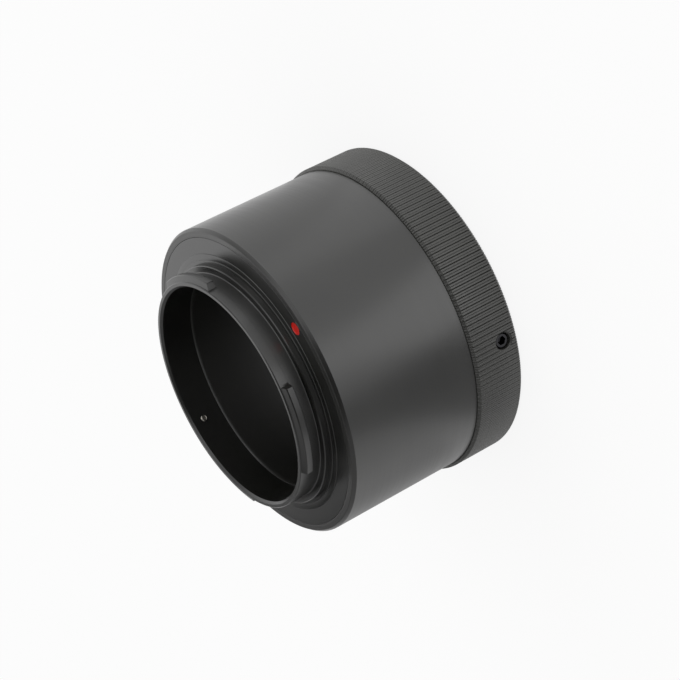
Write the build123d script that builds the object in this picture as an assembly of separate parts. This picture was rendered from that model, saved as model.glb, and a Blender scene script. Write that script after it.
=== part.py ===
from build123d import *
import math
import os

# T-mount adapter, in millimetres and degrees.
# The optical axis is Z. The lens side rests on z = 0 and the camera bayonet points up.

# Registers of the two mounts: they differ by the length from the lens seat to the camera flange
lens_register = 55.0
camera_register = 18.0

# Inner ring with the M42 x 0.75 lens thread, whose wall leaves a minor radius of 20.6
thread_ring_wall = 5.4
thread_lead_in = 0.5
thread_ring_thickness = 5.95
thread_ring_edge = 0.3
clamp_groove_depth = 1.2

# Knurled ring, its inner ledge and its straight ribs
ring_length = 9.8
ring_overhang = 0.65
ledge_width = 1.5
ring_end_chamfer = 0.45
ring_bore_chamfer = 0.3
rib_count = 192
rib_groove_depth = 0.32
rib_groove_width = 0.46

# Grub screws that clamp the inner ring
screw_count = 3
first_screw_angle = -127.0
screw_radius = 1.5
screw_length = 4.0
screw_tip_flat = 0.3
screw_edge = 0.15
screw_countersink = 0.25
socket_width = 1.5
socket_depth = 1.4

# Barrel
barrel_lip_width = 1.6
spigot_step = 2.0
barrel_bore_step = 0.4
barrel_bevel_width = 0.5
barrel_bevel_height = 0.62
barrel_rear_chamfer = 0.2
barrel_bore_chamfer = 0.25
barrel_bore_bevel_height = 0.7
shadow_gap = 0.35

# Camera flange plate: its bearing rim stands highest, and two low steps lead down from it to the plate's land
plate_thickness = 1.0
plate_edge = 0.1
bearing_rim_width = 0.65
step_width = 1.15
step_drop = 0.1
step_edge = 0.06
plate_land_width = 3.05

# Bayonet tube, locating shoulder and lugs
tube_bore_radius = 20.75
tube_wall = 1.1
tube_height = 5.4
rim_outer_chamfer = 0.15
rim_inner_chamfer = 0.4
neck_depth = 0.1
neck_length = 2.45
neck_fillet = 0.35
shoulder_step = 1.2
shoulder_height = 1.05
shoulder_edge = 0.15
lug_setback = 0.1
lug_thickness = 1.3
lug_front_slope = 12.0
lug_edge = 0.08
lug_root = 0.4
# Start angle and sweep of each lug, anticlockwise as the camera sees them
lugs = ((-152.8, 44.0), (-47.0, 42.5), (94.5, 42.0))

# Index dot in its dimple, and the pin that stops the bayonet's turn
dot_angle = -90.0
dot_inset = 1.65
dot_radius = 1.2
dimple_depth = 0.45
dot_thickness = 0.35
dot_dish = 0.15
pin_angle = 84.0
pin_radius = 0.6
pin_below_lugs = 0.7
pin_inner_reach = 0.25
pin_outer_reach = 1.0
pin_edge = 0.2

# Clearances
seat_clearance = 0.03
running_clearance = 0.05

# Heights that follow from the sizes above
ledge_height = thread_ring_thickness + running_clearance
screw_height = thread_ring_thickness / 2
barrel_rear = ring_length + shadow_gap
flange_height = lens_register - camera_register
plate_floor = flange_height - plate_thickness
step_height = flange_height - step_drop
land_height = step_height - step_drop
shoulder_top = flange_height + shoulder_height
lug_base = shoulder_top + neck_length
tube_top = flange_height + tube_height
dimple_floor = land_height - dimple_depth
pin_height = lug_base - pin_below_lugs

# Radii that follow from the sizes above, from the tube's bore outwards and back in to the thread ring
tube_radius = tube_bore_radius + tube_wall
neck_radius = tube_radius - neck_depth
shoulder_radius = tube_radius + shoulder_step
lug_radius = shoulder_radius - lug_setback
rim_radius = shoulder_radius + bearing_rim_width
step_radius = rim_radius + step_width
plate_radius = step_radius + plate_land_width
barrel_radius = plate_radius + barrel_lip_width
barrel_bore_radius = tube_bore_radius - barrel_bore_step
ring_radius = barrel_radius + ring_overhang
spigot_radius = barrel_radius - spigot_step
thread_ring_radius = spigot_radius - ledge_width
thread_minor_radius = thread_ring_radius - thread_ring_wall
clamp_groove_radius = thread_ring_radius - clamp_groove_depth
dot_place_radius = plate_radius - dot_inset
screw_tip_place = clamp_groove_radius + running_clearance + screw_tip_flat


def turned(outline, sweep=360):
    """Turns a closed outline of (radius, height) points about the optical axis."""
    face = make_face(Polyline(*outline, close=True))
    return revolve(Plane.XZ * face, Axis.Z, revolution_arc=sweep)


def disc(radius, low, high):
    """A plain disc on the optical axis between two heights."""
    return Pos(0, 0, low) * Cylinder(radius, high - low, align=(Align.CENTER, Align.CENTER, Align.MIN))


def radial(body, angle, distance, height):
    """Lays a body's own Z axis along a radius, with its foot at a distance from the optical axis."""
    return Rot(0, 0, angle) * Pos(distance, 0, height) * Rot(0, 90, 0) * body


def rims(body, *places):
    """The full circles of a body at the given (radius, height) places."""
    found = []
    for edge in body.edges().filter_by(GeomType.CIRCLE):
        for radius, height in places:
            if abs(edge.radius - radius) < 0.01 and abs(edge.arc_center.Z - height) < 0.01:
                found.append(edge)
    return found


def ribbed_blank():
    """Bar with one V-shaped groove between each two ribs, as long as the knurled ring."""
    pitch = 2 * math.pi / rib_count
    half_groove = rib_groove_width / ring_radius / 2
    floor_radius = ring_radius - rib_groove_depth
    outline = []
    for rib in range(rib_count):
        middle = rib * pitch
        for turn, radius in ((0, floor_radius), (half_groove, ring_radius), (pitch - half_groove, ring_radius)):
            outline.append((radius * math.cos(middle + turn), radius * math.sin(middle + turn)))
    return extrude(make_face(Polyline(*outline, close=True)), ring_length)


def make_knurled_ring():
    bevelled = disc(ring_radius + ring_end_chamfer, 0, ring_length)
    bevel = 2 * ring_end_chamfer
    bevelled = chamfer(bevelled.edges().filter_by(GeomType.CIRCLE), bevel)
    body = ribbed_blank() & bevelled
    bore = turned((
        (0, 0),
        (thread_ring_radius + running_clearance + ring_bore_chamfer, 0),
        (thread_ring_radius + running_clearance, ring_bore_chamfer),
        (thread_ring_radius + running_clearance, ledge_height),
        (spigot_radius + seat_clearance, ledge_height),
        (spigot_radius + seat_clearance, ring_length),
        (0, ring_length),
    ))
    body -= bore
    hole_radius = screw_radius + running_clearance
    hole_start = thread_ring_radius - running_clearance
    hole_length = ring_radius + screw_countersink - hole_start
    hole = Cylinder(hole_radius, hole_length, align=(Align.CENTER, Align.CENTER, Align.MIN))
    mouth = Cone(
        hole_radius,
        hole_radius + 2 * screw_countersink,
        2 * screw_countersink,
        align=(Align.CENTER, Align.CENTER, Align.MIN),
    )
    for angle in screw_angles():
        body -= radial(hole, angle, hole_start, screw_height)
        body -= radial(mouth, angle, ring_radius - screw_countersink, screw_height)
    return body


def make_thread_ring():
    body = turned((
        (thread_minor_radius, 0),
        (thread_ring_radius, 0),
        (thread_ring_radius, screw_height - clamp_groove_depth),
        (clamp_groove_radius, screw_height),
        (thread_ring_radius, screw_height + clamp_groove_depth),
        (thread_ring_radius, thread_ring_thickness),
        (thread_minor_radius, thread_ring_thickness),
    ))
    ends = (0, thread_ring_thickness)
    body = chamfer(rims(body, *((thread_minor_radius, end) for end in ends)), thread_lead_in)
    return chamfer(rims(body, *((thread_ring_radius, end) for end in ends)), thread_ring_edge)


def screw_angles():
    return [first_screw_angle + 360 / screw_count * number for number in range(screw_count)]


def make_grub_screw(angle):
    """Flat-ended cone point, plain shank and hexagon socket, with the point in the clamp groove."""
    body = turned((
        (0, 0),
        (screw_tip_flat, 0),
        (screw_radius, screw_radius - screw_tip_flat),
        (screw_radius, screw_length),
        (0, screw_length),
    ))
    body = chamfer(rims(body, (screw_radius, screw_length)), screw_edge)
    socket = extrude(RegularPolygon(socket_width / 2, 6, major_radius=False), -socket_depth)
    body -= Pos(0, 0, screw_length) * socket
    return radial(body, angle, screw_tip_place, screw_height)


def make_barrel():
    body = turned((
        (barrel_bore_radius, ledge_height),
        (spigot_radius, ledge_height),
        (spigot_radius, barrel_rear),
        (barrel_radius, barrel_rear),
        (barrel_radius, land_height - barrel_bevel_height),
        (barrel_radius - barrel_bevel_width, land_height),
        (plate_radius + seat_clearance, land_height),
        (plate_radius + seat_clearance, plate_floor),
        (tube_bore_radius, plate_floor),
        (barrel_bore_radius, plate_floor - barrel_bore_bevel_height),
    ))
    body = chamfer(rims(body, (barrel_radius, barrel_rear), (spigot_radius, ledge_height)), barrel_rear_chamfer)
    return chamfer(rims(body, (barrel_bore_radius, ledge_height)), barrel_bore_chamfer)


def make_lug(start, sweep):
    """One lug with a lead-in slope on its front, rooted in the tube's wall."""
    outer_low = lug_base + lug_edge
    outer_high = lug_base + lug_thickness - lug_edge
    front_edge = lug_radius - lug_edge
    root_radius = neck_radius - lug_root
    front_rise = (front_edge - root_radius) * math.tan(math.radians(lug_front_slope))
    body = turned((
        (root_radius, lug_base),
        (front_edge, lug_base),
        (lug_radius, outer_low),
        (lug_radius, outer_high),
        (front_edge, lug_base + lug_thickness),
        (root_radius, lug_base + lug_thickness + front_rise),
    ), sweep)
    return Rot(0, 0, start) * body


def make_bayonet_flange():
    """Plate, bearing rim, locating shoulder, neck and tube in one turning, with the milled lugs."""
    body = turned((
        (tube_bore_radius, plate_floor),
        (plate_radius, plate_floor),
        (plate_radius, land_height),
        (step_radius, land_height),
        (step_radius, step_height),
        (rim_radius, step_height),
        (rim_radius, flange_height),
        (shoulder_radius, flange_height),
        (shoulder_radius, shoulder_top),
        (neck_radius, shoulder_top),
        (neck_radius, lug_base),
        (tube_radius, lug_base),
        (tube_radius, tube_top),
        (tube_bore_radius, tube_top),
    ))
    body = fillet(rims(body, (neck_radius, shoulder_top)), neck_fillet)
    body = chamfer(rims(body, (shoulder_radius, shoulder_top)), shoulder_edge)
    body = chamfer(rims(body, (step_radius, step_height), (rim_radius, flange_height)), step_edge)
    body = chamfer(rims(body, (plate_radius, land_height)), plate_edge)
    body = chamfer(rims(body, (tube_radius, tube_top)), rim_outer_chamfer)
    body = chamfer(rims(body, (tube_bore_radius, tube_top)), rim_inner_chamfer)
    for start, sweep in lugs:
        body += make_lug(start, sweep)
    body -= dot_place() * Cylinder(
        dot_radius, 2 * dimple_depth, align=(Align.CENTER, Align.CENTER, Align.MIN)
    )
    pin_hole = Cylinder(pin_radius + seat_clearance, 3 * tube_wall)
    return body - radial(pin_hole, pin_angle, tube_radius, pin_height)


def dot_place():
    """Centre of the dimple's floor, in the plate's land."""
    return Rot(0, 0, dot_angle) * Pos(dot_place_radius, 0, dimple_floor)


def make_index_dot():
    """Enamel that fills the dimple and dries with a hollow face."""
    radius = dot_radius - seat_clearance
    hollow_radius = (radius**2 + dot_dish**2) / (2 * dot_dish)
    enamel = Cylinder(radius, dot_thickness, align=(Align.CENTER, Align.CENTER, Align.MIN))
    enamel -= Pos(0, 0, dot_thickness - dot_dish + hollow_radius) * Sphere(hollow_radius)
    return dot_place() * enamel


def make_stop_pin():
    """Pin pressed through the neck: rounded inner end in the bore, outer end between two lugs."""
    length = pin_inner_reach + tube_wall - neck_depth + pin_outer_reach
    pin = Cylinder(pin_radius, length, align=(Align.CENTER, Align.CENTER, Align.MIN))
    pin = fillet(pin.edges().filter_by(GeomType.CIRCLE), pin_edge)
    return radial(pin, pin_angle, tube_bore_radius - pin_inner_reach, pin_height)


parts = {
    "barrel": make_barrel(),
    "bayonet_flange": make_bayonet_flange(),
    "index_dot": make_index_dot(),
    "stop_pin": make_stop_pin(),
    "knurled_ring": make_knurled_ring(),
    "t_thread_ring": make_thread_ring(),
}
for number, angle in enumerate(screw_angles(), start=1):
    parts[f"grub_screw_{number}"] = make_grub_screw(angle)

os.makedirs("parts", exist_ok=True)
for name, body in parts.items():
    export_step(body, f"parts/{name}.step")
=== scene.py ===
import math

import bmesh
import bpy
from mathutils import Matrix, Vector


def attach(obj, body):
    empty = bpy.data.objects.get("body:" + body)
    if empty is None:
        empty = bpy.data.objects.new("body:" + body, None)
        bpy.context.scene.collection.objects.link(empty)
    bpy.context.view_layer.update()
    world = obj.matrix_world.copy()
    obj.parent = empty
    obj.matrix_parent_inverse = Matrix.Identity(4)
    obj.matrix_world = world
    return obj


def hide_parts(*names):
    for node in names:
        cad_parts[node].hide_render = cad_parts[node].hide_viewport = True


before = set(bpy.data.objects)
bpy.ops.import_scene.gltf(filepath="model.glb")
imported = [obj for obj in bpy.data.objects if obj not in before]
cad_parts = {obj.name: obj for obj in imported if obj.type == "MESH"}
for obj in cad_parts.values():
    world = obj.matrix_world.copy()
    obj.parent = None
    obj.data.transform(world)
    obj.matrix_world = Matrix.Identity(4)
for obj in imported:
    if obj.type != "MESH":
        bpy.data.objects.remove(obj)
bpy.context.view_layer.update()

# A T-mount adapter dressed in its CAD frame: Z is the optical axis and the lens side stands on z = 0.
# The dictionaries hold lengths in mm and angles in degrees, and mm turns a length into the scene's metres.
mm = 0.001
fullTurn = 360

# Vertices closer than this are one, on a turned outline and where a thread's turns meet
outlineWeld = 0.0005
helixWeld = 0.002
# A vertex belongs to a named circle, or to a lug's end, when it lies this close to it
placeTolerance = 0.004
angleTolerance = 0.01


def linearColour(hexCode):
    # the curve of the sRGB standard, from a hex code to the linear values that the nodes take
    channels = [int(hexCode[place:place + 2], 16) / 255 for place in (1, 3, 5)]
    linear = [c / 12.92 if c <= 0.04045 else ((c + 0.055) / 1.055) ** 2.4 for c in channels]
    return (*linear, 1.0)


def addNode(tree, kind, settings=None, links=None):
    # settings are node properties or input values, links feed inputs from other nodes' sockets
    node = tree.nodes.new(kind)
    for key, value in (settings or {}).items():
        if isinstance(key, str) and hasattr(node, key):
            setattr(node, key, value)
        else:
            node.inputs[key].default_value = value
    for key, socket in (links or {}).items():
        tree.links.new(socket, node.inputs[key])
    return node


def newMaterial(name):
    material = bpy.data.materials.new(name)
    material.use_nodes = True
    material.node_tree.nodes.clear()
    return material, material.node_tree


def addNoise(tree, place, grain, detail, roughness=0.5, dimensions='3D'):
    # grain is the pattern's size on the real object, in mm
    noise = addNode(tree, "ShaderNodeTexNoise",
                    {"noise_dimensions": dimensions, "Scale": 1 / (grain * mm), "Detail": detail,
                     "Roughness": roughness}, {"Vector": place})
    return noise.outputs["Fac"]


def addPaint(tree, share, darkColour, paleColour):
    paint = addNode(tree, "ShaderNodeMix", {"data_type": 'RGBA'}, {0: share})
    paint.inputs[6].default_value = linearColour(darkColour)
    paint.inputs[7].default_value = linearColour(paleColour)
    return paint.outputs[2]


def addBump(tree, height, depth, normal=None):
    links = {"Height": height}
    if normal is not None:
        links["Normal"] = normal
    bump = addNode(tree, "ShaderNodeBump", {"Strength": 1.0, "Distance": depth * mm}, links)
    return bump.outputs[0]


def addOutput(tree, shader):
    addNode(tree, "ShaderNodeOutputMaterial", links={"Surface": shader.outputs[0]})


def radiusOf(point):
    return math.hypot(point[0], point[1])


def setRadius(vert, radius, newRadius):
    vert.co.x *= newRadius / radius
    vert.co.y *= newRadius / radius


def spinOutline(bm, outline, steps, closed=True, sweep=fullTurn):
    # turns (radius, height) points in mm about the optical axis
    corners = [bm.verts.new((r * mm, 0, z * mm)) for r, z in outline]
    pairs = list(zip(corners, corners[1:]))
    if closed:
        pairs.append((corners[-1], corners[0]))
    edges = [bm.edges.new(pair) for pair in pairs]
    if sweep == fullTurn:
        bmesh.ops.spin(bm, geom=corners + edges, cent=(0, 0, 0), axis=(0, 0, 1),
                       angle=math.tau, steps=steps, use_merge=True)
    else:
        face = bm.faces.new(corners)
        bmesh.ops.spin(bm, geom=[face], cent=(0, 0, 0), axis=(0, 0, 1),
                       angle=math.radians(sweep), steps=steps)
    bmesh.ops.remove_doubles(bm, verts=bm.verts, dist=outlineWeld * mm)


def spinHelix(bm, teeth, pitch, steps, clamp):
    # one turn of a row of thread teeth that climbs by one pitch, so each tooth ends on the next one
    corners = [bm.verts.new((r * mm, 0, z * mm)) for r, z in teeth]
    edges = [bm.edges.new(pair) for pair in zip(corners, corners[1:])]
    known = set(bm.verts) - set(corners)
    bmesh.ops.spin(bm, geom=corners + edges, cent=(0, 0, 0), axis=(0, 0, 1),
                   dvec=(0, 0, pitch * mm / steps), angle=math.tau, steps=steps)
    for vert in bm.verts:
        if vert not in known:
            radius = radiusOf(vert.co)
            newRadius, newHeight = clamp(radius / mm, vert.co.z / mm)
            setRadius(vert, radius, newRadius * mm)
            vert.co.z = newHeight * mm
    bmesh.ops.remove_doubles(bm, verts=bm.verts, dist=helixWeld * mm)


def bevelEdges(bm, edges, width, segments):
    bmesh.ops.bevel(bm, geom=edges, offset=width * mm, offset_type='OFFSET', segments=segments,
                    profile=0.5, affect='EDGES', material=-1)


def roundRims(bm, places, width, segments):
    # bevels the full circles at the given (radius, height) places
    edges = []
    for edge in bm.edges:
        for radius, height in places:
            if all(abs(radiusOf(v.co) / mm - radius) < placeTolerance
                   and abs(v.co.z / mm - height) < placeTolerance for v in edge.verts):
                edges.append(edge)
    bevelEdges(bm, edges, width, segments)


def asObject(bm, name):
    bmesh.ops.recalc_face_normals(bm, faces=bm.faces)
    mesh = bpy.data.meshes.new(name)
    bm.to_mesh(mesh)
    bm.free()
    piece = bpy.data.objects.new(name, mesh)
    bpy.context.scene.collection.objects.link(piece)
    return piece


def carve(piece, tool, operation):
    # cuts or joins with another object, which is then removed
    change = piece.modifiers.new("carve", 'BOOLEAN')
    change.operation = operation
    change.solver = 'EXACT'
    change.object = tool
    graph = bpy.context.evaluated_depsgraph_get()
    mesh = bpy.data.meshes.new_from_object(piece.evaluated_get(graph))
    piece.modifiers.clear()
    oldMesh, piece.data = piece.data, mesh
    bpy.data.meshes.remove(oldMesh)
    mesh.name = piece.name
    bpy.data.objects.remove(tool)


def finishPiece(piece, material, body, node, sharpAngle=32):
    # edges that bend by more than the sharp angle stay crisp, the others shade as one round surface
    piece.data.materials.clear()
    piece.data.materials.append(material)
    piece.data.shade_smooth()
    piece.data.set_sharp_from_angle(angle=math.radians(sharpAngle))
    weighting = piece.modifiers.new("evenNormals", 'WEIGHTED_NORMAL')
    weighting.keep_sharp = True
    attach(piece, body)
    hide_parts(node)
    print("made", piece.name, len(piece.data.polygons), "faces")


def radialPlace(angle, distance, height):
    # a piece's own Z axis laid along a radius, its foot at a distance from the optical axis
    return (Matrix.Rotation(math.radians(angle), 4, 'Z')
            @ Matrix.Translation((distance * mm, 0, height * mm))
            @ Matrix.Rotation(math.radians(90), 4, 'Y'))


# The anodised parts differ in polish and in how deep the dye took. The ring's knurl is the palest and dullest,
# the flange is finely turned and the smoothest. Steps, grains and depths are in mm.
barrelSkin = {"dark": "#0e0e0c", "pale": "#171714", "roughness": 0.345, "glossSpread": 0.02,
              "turningStep": 0.35, "turningDepth": 0.003, "grainDepth": 0.005}
flangeSkin = {"dark": "#090908", "pale": "#12120f", "roughness": 0.295, "glossSpread": 0.004,
              "turningStep": 0.30, "turningDepth": 0.0003, "grainDepth": 0.0008}
knurlSkin = {"dark": "#21211e", "pale": "#31312d", "roughness": 0.485, "glossSpread": 0.04,
             "turningStep": 0.35, "turningDepth": 0.003, "grainDepth": 0.006}
threadSkin = {"dark": "#0c0c0c", "pale": "#161615", "roughness": 0.345, "glossSpread": 0.03,
              "turningStep": 0.30, "turningDepth": 0.004, "grainDepth": 0.005}
# All share the refraction of the clear oxide, the etch's grain and the cloudy drift of the dye
anodising = {"refraction": 1.77, "grain": 0.3, "cloud": 9, "grainShare": 0.7, "darkest": 0.55, "palest": 1.15,
             "glossiestRing": 0.3, "dullestRing": 0.7}


def anodisedAluminium(name, skin):
    # Turned aluminium, etched and black anodised: a dyed oxide skin, so it is dark, satin and not a bare metal.
    # Turning leaves rings that depend only on radius and height, and stretch the highlights along the axis.
    # The etch leaves an even grain that takes the mirror look away. Both are much finer on the real part, and
    # are drawn coarser here, so that they show as a faint unevenness at the size of the photograph.
    material, tree = newMaterial(name)
    place = addNode(tree, "ShaderNodeTexCoord").outputs["Object"]
    height = addNode(tree, "ShaderNodeSeparateXYZ", links={0: place}).outputs["Z"]
    flat = addNode(tree, "ShaderNodeVectorMath", {"operation": 'MULTIPLY', 1: (1, 1, 0)}, {0: place})
    radius = addNode(tree, "ShaderNodeVectorMath", {"operation": 'LENGTH'}, {0: flat.outputs[0]})
    lathe = addNode(tree, "ShaderNodeCombineXYZ", links={0: radius.outputs["Value"], 1: height})
    rings = addNoise(tree, lathe.outputs[0], skin["turningStep"], 2.0, 0.6, '2D')
    etch = addNoise(tree, place, anodising["grain"], 3.0, 0.65)
    cloud = addNoise(tree, place, anodising["cloud"], 2.0)
    mottle = addNode(tree, "ShaderNodeMath", {"operation": 'MULTIPLY_ADD', 1: anodising["grainShare"]},
                     {0: etch, 2: cloud})
    spread = addNode(tree, "ShaderNodeMapRange",
                     {"From Min": anodising["darkest"], "From Max": anodising["palest"]},
                     {"Value": mottle.outputs[0]})
    gloss = addNode(tree, "ShaderNodeMapRange",
                    {"From Min": anodising["glossiestRing"], "From Max": anodising["dullestRing"],
                     "To Min": skin["roughness"] - skin["glossSpread"],
                     "To Max": skin["roughness"] + skin["glossSpread"]}, {"Value": rings})
    ringBump = addBump(tree, rings, skin["turningDepth"])
    shader = addNode(tree, "ShaderNodeBsdfPrincipled", {"Metallic": 0.0, "IOR": anodising["refraction"]},
                     {"Base Color": addPaint(tree, spread.outputs[0], skin["dark"], skin["pale"]),
                      "Roughness": gloss.outputs[0],
                      "Normal": addBump(tree, etch, skin["grainDepth"], ringBump)})
    addOutput(tree, shader)
    return material


enamel = {"dark": "#b01006", "pale": "#cc1a0a", "grain": 0.8, "depth": 0.02, "roughness": 0.3,
          "refraction": 1.5, "coat": 0.3}


def redEnamel():
    # stoving enamel dropped into a drilled dimple: a glossy, slightly wavy red with a clear skin
    material, tree = newMaterial("redStovingEnamel")
    place = addNode(tree, "ShaderNodeTexCoord").outputs["Object"]
    drift = addNoise(tree, place, enamel["grain"], 2.0)
    shader = addNode(tree, "ShaderNodeBsdfPrincipled",
                     {"Roughness": enamel["roughness"], "IOR": enamel["refraction"],
                      "Coat Weight": enamel["coat"]},
                     {"Base Color": addPaint(tree, drift, enamel["dark"], enamel["pale"]),
                      "Normal": addBump(tree, drift, enamel["depth"])})
    addOutput(tree, shader)
    return material


# Grain is the spacing of the grinding or rolling marks. The pin is bright, the screws are almost black.
pinSteel = {"dark": "#a8a39a", "pale": "#d0ccc4", "roughness": 0.28, "grain": 0.15}
screwSteel = {"dark": "#2a2a2c", "pale": "#48484a", "roughness": 0.24, "grain": 0.2}
steelMarks = {"depth": 0.004, "glossSpread": 0.06}


def steel(name, finish):
    # bare metal, so its colour tints the sharp reflections, which the marks break up
    material, tree = newMaterial(name)
    place = addNode(tree, "ShaderNodeTexCoord").outputs["Object"]
    marks = addNoise(tree, place, finish["grain"], 3.0, 0.7)
    gloss = addNode(tree, "ShaderNodeMapRange",
                    {"To Min": finish["roughness"] - steelMarks["glossSpread"],
                     "To Max": finish["roughness"] + steelMarks["glossSpread"]}, {"Value": marks})
    shader = addNode(tree, "ShaderNodeBsdfPrincipled", {"Metallic": 1.0},
                     {"Base Color": addPaint(tree, marks, finish["dark"], finish["pale"]),
                      "Roughness": gloss.outputs[0], "Normal": addBump(tree, marks, steelMarks["depth"])})
    addOutput(tree, shader)
    return material


barrelFinish = anodisedAluminium("blackAnodisedTurnedBarrel", barrelSkin)
flangeFinish = anodisedAluminium("blackAnodisedTurnedFlange", flangeSkin)
knurlFinish = anodisedAluminium("blackAnodisedKnurledRing", knurlSkin)
threadFinish = anodisedAluminium("blackAnodisedThreadRing", threadSkin)
dotFinish = redEnamel()
pinFinish = steel("groundStainlessSteel", pinSteel)
screwFinish = steel("blackOxideSteel", screwSteel)
print("materials ready")


barrel = {"radius": 29.5, "rear": 9.82, "front": 36.8, "spigotRadius": 27.5, "spigotStart": 6.0,
          "seatRadius": 27.93, "seatFloor": 36.0, "bevelWidth": 0.5, "bevelHeight": 0.62, "bevelEdge": 0.04,
          "rearEdge": 0.05, "seatEdge": 0.05, "boreRadius": 20.35, "boreMouth": 20.65, "boreBevel": 0.8,
          "boreEdge": 0.25, "steps": 360}


def makeBarrel():
    # the spigot at the rear carries the knurled ring, and the seat in the front takes the flange plate
    size = barrel
    bevelFoot = (size["radius"], size["front"] - size["bevelHeight"])
    bevelTop = (size["radius"] - size["bevelWidth"], size["front"])
    bm = bmesh.new()
    spinOutline(bm, (
        (size["boreRadius"], size["spigotStart"]),
        (size["spigotRadius"], size["spigotStart"]),
        (size["spigotRadius"], size["rear"]),
        (size["radius"], size["rear"]),
        bevelFoot,
        bevelTop,
        (size["seatRadius"], size["front"]),
        (size["seatRadius"], size["seatFloor"]),
        (size["boreMouth"], size["seatFloor"]),
        (size["boreRadius"], size["seatFloor"] - size["boreBevel"]),
    ), size["steps"])
    roundRims(bm, [bevelFoot, bevelTop], size["bevelEdge"], 2)
    roundRims(bm, [(size["radius"], size["rear"]), (size["spigotRadius"], size["spigotStart"])],
              size["rearEdge"], 2)
    roundRims(bm, [(size["seatRadius"], size["front"])], size["seatEdge"], 2)
    roundRims(bm, [(size["boreRadius"], size["spigotStart"])], size["boreEdge"], 2)
    piece = asObject(bm, "turnedBarrel")
    finishPiece(piece, barrelFinish, "body", "barrel")


makeBarrel()


flange = {"boreRadius": 20.75, "plateFloor": 36.0, "plateRadius": 27.9, "land": 36.8, "plateEdge": 0.06,
          "stepRadius": 24.85, "step": 36.9, "rimRadius": 23.7, "face": 37.0, "stepEdge": 0.08,
          "shoulderRadius": 23.05, "shoulderTop": 38.05, "shoulderEdge": 0.15,
          "neckRadius": 21.75, "neckTop": 40.5, "neckFillet": 0.2, "neckEdge": 0.04,
          "tubeRadius": 21.85, "tubeTop": 42.4, "outerEdge": 0.15, "innerEdge": 0.4, "steps": 360}
# Each span is a lug's start angle, its sweep, and how far its start slants, as a share of the lug's height
lug = {"root": 21.35, "radius": 22.95, "low": 40.5, "high": 41.8, "edge": 0.13, "frontSlope": 20,
       "rootReach": 0.25, "endTaper": 0.45,
       "spans": ((-152.8, 44.0, 0.4), (-47.0, 42.5, 0.9), (94.5, 42.0, 0.9))}
dimple = {"distance": 26.25, "radius": 1.2, "floor": 36.35, "toolHeight": 1.0, "steps": 64}
stopPin = {"angle": 84, "height": 39.8, "radius": 0.6, "inner": 20.5, "length": 2.25, "edge": 0.2,
           "holeRadius": 0.63, "holeTool": 4.0, "steps": 40}


def addCylinder(bm, radius, height, steps):
    bmesh.ops.create_cone(bm, cap_ends=True, segments=steps, radius1=radius * mm, radius2=radius * mm,
                          depth=height * mm)


def slantEnds(bm, sweep, startTaper):
    # the cutter leaves each lug's ends slanted, wider at the foot than at the crest
    for end, way, taper in ((0, 1, startTaper), (sweep, -1, lug["endTaper"])):
        for vert in bm.verts:
            radius = radiusOf(vert.co) / mm
            if abs(math.degrees(math.atan2(vert.co.y, vert.co.x)) - end) < angleTolerance:
                inward = ((radius - flange["tubeRadius"]) * taper - lug["rootReach"]) / radius
                bmesh.ops.rotate(bm, verts=[vert], cent=(0, 0, 0),
                                 matrix=Matrix.Rotation(way * inward, 3, 'Z'))


def addLugs(piece):
    rise = (lug["radius"] - lug["edge"] - lug["root"]) * math.tan(math.radians(lug["frontSlope"]))
    for start, sweep, startTaper in lug["spans"]:
        bm = bmesh.new()
        spinOutline(bm, ((lug["root"], lug["low"]), (lug["radius"], lug["low"]),
                         (lug["radius"], lug["high"]), (lug["root"], lug["high"] + rise)),
                    round(sweep), sweep=sweep)
        roundRims(bm, [(lug["radius"], lug["low"]), (lug["radius"], lug["high"])], lug["edge"], 1)
        slantEnds(bm, sweep, startTaper)
        bmesh.ops.rotate(bm, verts=bm.verts, cent=(0, 0, 0),
                         matrix=Matrix.Rotation(math.radians(start), 3, 'Z'))
        carve(piece, asObject(bm, "lugTool"), 'UNION')


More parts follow.
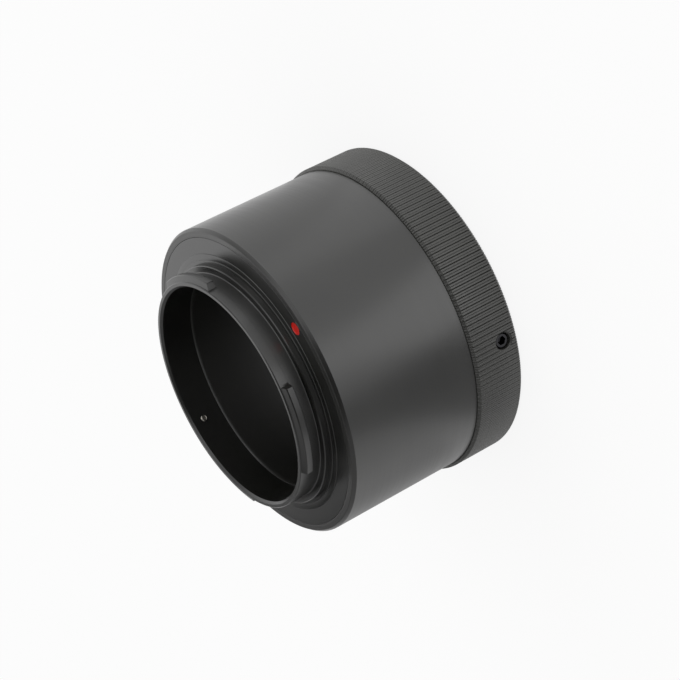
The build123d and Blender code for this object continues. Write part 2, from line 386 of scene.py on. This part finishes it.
def makeFlange():
    # a plate whose land steps up twice to the bearing rim, then the locating shoulder, neck and lugged tube
    size = flange
    bm = bmesh.new()
    spinOutline(bm, (
        (size["boreRadius"], size["plateFloor"]),
        (size["plateRadius"], size["plateFloor"]),
        (size["plateRadius"], size["land"]),
        (size["stepRadius"], size["land"]),
        (size["stepRadius"], size["step"]),
        (size["rimRadius"], size["step"]),
        (size["rimRadius"], size["face"]),
        (size["shoulderRadius"], size["face"]),
        (size["shoulderRadius"], size["shoulderTop"]),
        (size["neckRadius"], size["shoulderTop"]),
        (size["neckRadius"], size["neckTop"]),
        (size["tubeRadius"], size["neckTop"]),
        (size["tubeRadius"], size["tubeTop"]),
        (size["boreRadius"], size["tubeTop"]),
    ), size["steps"])
    roundRims(bm, [(size["neckRadius"], size["shoulderTop"])], size["neckFillet"], 4)
    roundRims(bm, [(size["shoulderRadius"], size["shoulderTop"])], size["shoulderEdge"], 1)
    roundRims(bm, [(size["stepRadius"], size["step"]), (size["rimRadius"], size["face"])],
              size["stepEdge"], 3)
    roundRims(bm, [(size["plateRadius"], size["land"])], size["plateEdge"], 2)
    roundRims(bm, [(size["tubeRadius"], size["tubeTop"])], size["outerEdge"], 1)
    roundRims(bm, [(size["boreRadius"], size["tubeTop"])], size["innerEdge"], 1)
    roundRims(bm, [(size["tubeRadius"], size["neckTop"])], size["neckEdge"], 2)
    piece = asObject(bm, "bayonetFlange")
    addLugs(piece)
    bm = bmesh.new()
    addCylinder(bm, dimple["radius"], dimple["toolHeight"], dimple["steps"])
    middle = dimple["floor"] + dimple["toolHeight"] / 2
    bmesh.ops.translate(bm, verts=bm.verts, vec=(0, -dimple["distance"] * mm, middle * mm))
    carve(piece, asObject(bm, "dimpleTool"), 'DIFFERENCE')
    bm = bmesh.new()
    addCylinder(bm, stopPin["holeRadius"], stopPin["holeTool"], stopPin["steps"])
    bmesh.ops.transform(bm, verts=bm.verts,
                        matrix=radialPlace(stopPin["angle"], size["neckRadius"], stopPin["height"]))
    carve(piece, asObject(bm, "pinHoleTool"), 'DIFFERENCE')
    finishPiece(piece, flangeFinish, "body", "bayonet_flange")


makeFlange()


# The enamel dries with a hollow face, given as (radius, height) points, and creeps up the dimple's wall
indexDot = {"radius": 1.17, "thickness": 0.35,
            "hollow": ((1.08, 0.31), (0.88, 0.26), (0.6, 0.22), (0.3, 0.205), (0, 0.2)), "steps": 64}


def makeIndexDot():
    size = indexDot
    bm = bmesh.new()
    spinOutline(bm, ((0, 0), (size["radius"], 0), (size["radius"], size["thickness"]), *size["hollow"]),
                size["steps"], closed=False)
    bmesh.ops.translate(bm, verts=bm.verts, vec=(0, -dimple["distance"] * mm, dimple["floor"] * mm))
    piece = asObject(bm, "enamelDot")
    finishPiece(piece, dotFinish, "body", "index_dot", sharpAngle=60)


makeIndexDot()


def makeStopPin():
    size = stopPin
    bm = bmesh.new()
    addCylinder(bm, size["radius"], size["length"], size["steps"])
    rims = [edge for edge in bm.edges if any(len(face.verts) == size["steps"] for face in edge.link_faces)]
    bevelEdges(bm, rims, size["edge"], 4)
    bmesh.ops.transform(bm, verts=bm.verts,
                        matrix=radialPlace(size["angle"], size["inner"] + size["length"] / 2, size["height"]))
    piece = asObject(bm, "groundStopPin")
    finishPiece(piece, pinFinish, "body", "stop_pin")


makeStopPin()


# Each rib's pitch has eight places round the ring: a groove on the first and a fine line half way on
knurl = {"radius": 30.15, "length": 9.8, "endChamfer": 0.45, "chamferRows": (0, 0.13, 0.29),
         "ribs": 192, "depths": (0.18, 0, 0, 0, 0.10, 0, 0, 0),
         "boreRadius": 26.05, "ledgeHeight": 6.0, "spigotBore": 27.53, "boreChamfer": 0.3}
screwHole = {"radius": 1.55, "mouth": 0.3, "foot": 26.0, "height": 2.975, "angles": (-127, -7, 113), "steps": 48}


def addScrewHole(piece, angle):
    # a hole from the ring's bore outwards, countersunk where it meets the ribs
    size = screwHole
    depth = knurl["radius"] - size["foot"]
    bm = bmesh.new()
    spinOutline(bm, ((0, 0), (size["radius"], 0),
                     (size["radius"], depth - size["mouth"]),
                     (size["radius"] + 2 * size["mouth"], depth + size["mouth"]),
                     (0, depth + size["mouth"])), size["steps"], closed=False)
    bmesh.ops.transform(bm, verts=bm.verts, matrix=radialPlace(angle, size["foot"], size["height"]))
    carve(piece, asObject(bm, "holeTool"), 'DIFFERENCE')


def makeKnurledRing():
    size = knurl
    rim = size["radius"] - size["endChamfer"]
    rows = [(rim + step, step) for step in (*size["chamferRows"], size["endChamfer"])]
    upperRows = [(radius, size["length"] - height) for radius, height in reversed(rows)]
    places = len(size["depths"])
    bm = bmesh.new()
    spinOutline(bm, rows + [(size["radius"], size["length"] / 2)] + upperRows + [
        (size["spigotBore"], size["length"]),
        (size["spigotBore"], size["ledgeHeight"]),
        (size["boreRadius"], size["ledgeHeight"]),
        (size["boreRadius"], size["boreChamfer"]),
        (size["boreRadius"] + size["boreChamfer"], 0),
    ], size["ribs"] * places)
    for vert in bm.verts:
        radius = radiusOf(vert.co)
        if radius > (rim - placeTolerance) * mm:
            place = math.atan2(vert.co.y, vert.co.x) / math.tau * size["ribs"] * places
            setRadius(vert, radius, radius - size["depths"][round(place) % places] * mm)
    piece = asObject(bm, "knurledClampRing")
    for angle in screwHole["angles"]:
        addScrewHole(piece, angle)
    finishPiece(piece, knurlFinish, "body", "knurled_ring", sharpAngle=28)


makeKnurledRing()


# The M42 x 0.75 thread has 60 degree flanks. Its crests are a quarter of the pitch wide, and its roots run
# from nine to eleven sixteenths of it.
threadRing = {"minorRadius": 20.6, "rootRadius": 21.0, "pitch": 0.75, "crestEnd": 1 / 4, "rootStart": 9 / 16,
              "rootEnd": 11 / 16, "thickness": 5.95, "leadIn": 0.5, "outerRadius": 26.0, "edge": 0.3,
              "grooveDepth": 1.2, "steps": 240}


def makeThreadRing():
    # the V-groove round the outside takes the grub screws' points
    size = threadRing
    height = size["thickness"]
    middle = height / 2
    mouth = size["minorRadius"] + size["leadIn"]
    bm = bmesh.new()
    spinOutline(bm, (
        (mouth, 0),
        (size["outerRadius"] - size["edge"], 0),
        (size["outerRadius"], size["edge"]),
        (size["outerRadius"], middle - size["grooveDepth"]),
        (size["outerRadius"] - size["grooveDepth"], middle),
        (size["outerRadius"], middle + size["grooveDepth"]),
        (size["outerRadius"], height - size["edge"]),
        (size["outerRadius"] - size["edge"], height),
        (mouth, height),
    ), size["steps"], closed=False)
    pitch = size["pitch"]
    teeth = []
    for tooth in range(-2, math.ceil(height / pitch) + 1):
        low = tooth * pitch
        teeth += [(size["minorRadius"], low),
                  (size["minorRadius"], low + pitch * size["crestEnd"]),
                  (size["rootRadius"], low + pitch * size["rootStart"]),
                  (size["rootRadius"], low + pitch * size["rootEnd"])]

    def clampBore(radius, z):
        # the thread runs out in the lead-in chamfer at either end
        z = min(max(z, 0), height)
        return max(radius, mouth - min(z, height - z)), z

    spinHelix(bm, teeth, pitch, size["steps"], clampBore)
    piece = asObject(bm, "threadedInnerRing")
    finishPiece(piece, threadFinish, "inner_ring", "t_thread_ring")


makeThreadRing()


# The M3 thread's roots are an eighth of the pitch wide, and its crests start half way and are as wide
grub = {"radius": 1.5, "rootRadius": 1.18, "pitch": 0.5, "rootEnd": 1 / 8, "crestStart": 1 / 2, "crestEnd": 5 / 8,
        "length": 4.3, "tipFlat": 0.3, "faceRing": 0.9, "socketWidth": 1.5, "socketDepth": 1.4,
        "socketPoint": 0.35, "overrun": 0.5, "foot": 25.15, "steps": 48}


def makeGrubScrew(number, angle):
    # a cone point below, a full thread, and a hexagon socket with a drilled bottom in the outer end
    size = grub
    length, root = size["length"], size["rootRadius"]
    tipEnd = root - size["tipFlat"]
    bm = bmesh.new()
    spinOutline(bm, ((0, 0), (size["tipFlat"], 0), (root, tipEnd)), size["steps"], closed=False)
    spinOutline(bm, ((root, length), (size["faceRing"], length), (0, length)), size["steps"], closed=False)
    pitch = size["pitch"]
    teeth = []
    for tooth in range(-1, math.ceil(length / pitch) + 1):
        low = tooth * pitch
        teeth += [(root, low),
                  (root, low + pitch * size["rootEnd"]),
                  (size["radius"], low + pitch * size["crestStart"]),
                  (size["radius"], low + pitch * size["crestEnd"])]

    def clampShank(radius, z):
        # the thread fades into the cone point and into a chamfer at the outer end
        z = min(max(z, tipEnd), length)
        return min(radius, root + min(z - tipEnd, length - z)), z

    spinHelix(bm, teeth, pitch, size["steps"], clampShank)
    piece = asObject(bm, f"grubScrew{number}")
    bm = bmesh.new()
    corner = size["socketWidth"] / math.cos(math.pi / 6) / 2
    top = size["socketDepth"] + size["overrun"]
    spinOutline(bm, ((0, -size["socketPoint"]), (corner, 0), (corner, top), (0, top)), 6, closed=False)
    bmesh.ops.translate(bm, verts=bm.verts, vec=(0, 0, (length - size["socketDepth"]) * mm))
    carve(piece, asObject(bm, "socketTool"), 'DIFFERENCE')
    piece.data.transform(radialPlace(angle, size["foot"], screwHole["height"]))
    finishPiece(piece, screwFinish, f"screw_{number}", f"grub_screw_{number}")


for number, angle in enumerate(screwHole["angles"], start=1):
    makeGrubScrew(number, angle)


# The studio's large lengths are in metres, and directions lead from the object's middle. The strips on the
# floor, the small drops below z = 0 and the camera's place are in mm.
objectMiddle = Vector((0, 0, 0.02))
paperFloor = {"colour": "#f8f8f8", "halfWidth": 3.0, "drop": 0.02, "glow": 0.85}
skyLight = {"diffuse": 0.85, "seen": 1.0}
softbox = {"toward": (0.9, -0.38, 0.18), "distance": 0.9, "size": 0.6, "power": 1.5}
# Glowing discs that only reflections see, no lamps: they paint dark and pale reflections into the object's gloss
roundCards = {
    "darkReflectionCard": {"toward": (-0.38, -0.52, 0.77), "distance": 0.6, "radius": 0.31, "strength": 0.02},
    "greyReflectionCard": {"toward": (-0.74, 0.52, 0.42), "distance": 1.0, "radius": 1.5, "strength": 0.4},
    "darkReflectionPatch": {"toward": (-0.15, 0.89, 0.42), "distance": 0.9, "radius": 0.27, "strength": 0.02},
    "paleReflectionCard": {"toward": (0.82, -0.15, 0.55), "distance": 0.8, "radius": 0.35, "strength": 0.5},
}
# Glowing strips that only reflections see run outwards on the floor between two distances from the optical axis:
# they paint bright and dark reflections into the object's gloss, such as the barrel's painted highlight and its
# painted dark band
floorReach = {"near": 38, "far": 170, "drop": 0.01}
floorCards = {
    "brightReflectionStrip": {"azimuth": -108, "width": 34, "strength": 1.6},
    "darkReflectionStrip": {"azimuth": -146, "width": 42, "strength": 0.42},
    "paleReflectionStrip": {"azimuth": -45, "width": 30, "strength": 1.25},
    "greyReflectionStrip": {"azimuth": 130, "width": 80, "strength": 0.72},
    "glowingReflectionStrip": {"azimuth": 55, "width": 70, "strength": 1.3},
}
# Solved from the photograph: the camera's place, its axes, and its lens on a 36 mm sensor
camera = {"place": (-65.3, -350.8, 192.9), "right": (-0.52095, -0.30219, -0.79830),
          "up": (0.83776, -0.36023, -0.41034), "forward": (0.16358, 0.88256, -0.44083), "lens": 116.47,
          "sensor": 36, "nearClip": 0.01, "farClip": 20}


def seenDirectly(tree, path, rays):
    # 1 for the rays that look straight at a surface, so that it can show white and still light softly
    seen = path.outputs[rays[0]]
    for ray in rays[1:]:
        seen = addNode(tree, "ShaderNodeMath", {"operation": 'MAXIMUM'}, {0: seen, 1: path.outputs[ray]}).outputs[0]
    return seen


def addFloor():
    # white paper that keeps the object's shadow, and is mostly white to the camera and to reflections
    bm = bmesh.new()
    bmesh.ops.create_grid(bm, x_segments=1, y_segments=1, size=paperFloor["halfWidth"])
    bmesh.ops.translate(bm, verts=bm.verts, vec=(0, 0, -paperFloor["drop"] * mm))
    floor = asObject(bm, "studioFloor")
    material, tree = newMaterial("whitePaperSweep")
    path = addNode(tree, "ShaderNodeLightPath")
    paper = addNode(tree, "ShaderNodeBsdfDiffuse", {"Color": linearColour(paperFloor["colour"])})
    glow = addNode(tree, "ShaderNodeEmission", {"Color": (1, 1, 1, 1), "Strength": 1.0})
    share = addNode(tree, "ShaderNodeMath", {"operation": 'MULTIPLY', 1: paperFloor["glow"]},
                    {0: seenDirectly(tree, path, ("Is Camera Ray", "Is Glossy Ray"))})
    blend = addNode(tree, "ShaderNodeMixShader",
                    links={0: share.outputs[0], 1: paper.outputs[0], 2: glow.outputs[0]})
    addOutput(tree, blend)
    floor.data.materials.append(material)


def addWorld():
    world = bpy.data.worlds.new("whiteTent")
    bpy.context.scene.world = world
    world.use_nodes = True
    tree = world.node_tree
    tree.nodes.clear()
    path = addNode(tree, "ShaderNodeLightPath")
    seen = seenDirectly(tree, path, ("Is Camera Ray", "Is Glossy Ray", "Is Transmission Ray"))
    strength = addNode(tree, "ShaderNodeMapRange",
                       {"To Min": skyLight["diffuse"], "To Max": skyLight["seen"]}, {"Value": seen})
    sky = addNode(tree, "ShaderNodeBackground", {"Color": (1, 1, 1, 1)}, {"Strength": strength.outputs[0]})
    addNode(tree, "ShaderNodeOutputWorld", links={"Surface": sky.outputs[0]})


def addLamp():
    lampData = bpy.data.lights.new("topSoftbox", 'AREA')
    lampData.shape = 'DISK'
    lampData.size = softbox["size"]
    lampData.energy = softbox["power"]
    lamp = bpy.data.objects.new("topSoftbox", lampData)
    way = Vector(softbox["toward"]).normalized()
    lamp.rotation_mode = 'QUATERNION'
    lamp.location = objectMiddle + way * softbox["distance"]
    lamp.rotation_quaternion = way.to_track_quat('Z', 'Y')
    bpy.context.scene.collection.objects.link(lamp)


def addCard(name, bm, strength):
    # a glowing card that only reflections see, no lamp: it paints bright and dark reflections into the gloss, where
    # a studio's walls and the photographer would show
    card = asObject(bm, name)
    material, tree = newMaterial(name + "Emitter")
    face = addNode(tree, "ShaderNodeEmission", {"Color": (1, 1, 1, 1), "Strength": strength})
    addOutput(tree, face)
    card.data.materials.append(material)
    card.visible_camera = False
    card.visible_diffuse = False
    card.visible_shadow = False


def addRoundCard(name, size):
    bm = bmesh.new()
    bmesh.ops.create_circle(bm, cap_ends=True, segments=48, radius=size["radius"])
    way = Vector(size["toward"]).normalized()
    turn = way.to_track_quat('Z', 'Y').to_matrix().to_4x4()
    bmesh.ops.transform(bm, verts=bm.verts,
                        matrix=Matrix.Translation(objectMiddle + way * size["distance"]) @ turn)
    addCard(name, bm, size["strength"])


def addFloorCard(name, size):
    near, far = floorReach["near"], floorReach["far"]
    bm = bmesh.new()
    bmesh.ops.create_grid(bm, x_segments=1, y_segments=1, size=0.5)
    bmesh.ops.scale(bm, verts=bm.verts, vec=((far - near) * mm, size["width"] * mm, 1))
    bmesh.ops.translate(bm, verts=bm.verts, vec=((near + far) / 2 * mm, 0, -floorReach["drop"] * mm))
    bmesh.ops.rotate(bm, verts=bm.verts, cent=(0, 0, 0),
                     matrix=Matrix.Rotation(math.radians(size["azimuth"]), 3, 'Z'))
    addCard(name, bm, size["strength"])


def addCamera():
    cameraData = bpy.data.cameras.new("photoCamera")
    cameraData.lens = camera["lens"]
    cameraData.sensor_width = camera["sensor"]
    cameraData.clip_start = camera["nearClip"]
    cameraData.clip_end = camera["farClip"]
    eye = bpy.data.objects.new("photoCamera", cameraData)
    axes = [Vector(camera["right"]).normalized(), Vector(camera["up"]).normalized(),
            -Vector(camera["forward"]).normalized()]
    turn = Matrix([[axis[row] for axis in axes] for row in range(3)])
    eye.rotation_mode = 'QUATERNION'
    eye.rotation_quaternion = turn.to_quaternion()
    eye.location = Vector(camera["place"]) * mm
    bpy.context.scene.collection.objects.link(eye)
    bpy.context.scene.camera = eye


addFloor()
addWorld()
addLamp()
for name, size in roundCards.items():
    addRoundCard(name, size)
for name, size in floorCards.items():
    addFloorCard(name, size)
addCamera()
bpy.context.scene.view_settings.view_transform = 'Standard'

print("scene ready")
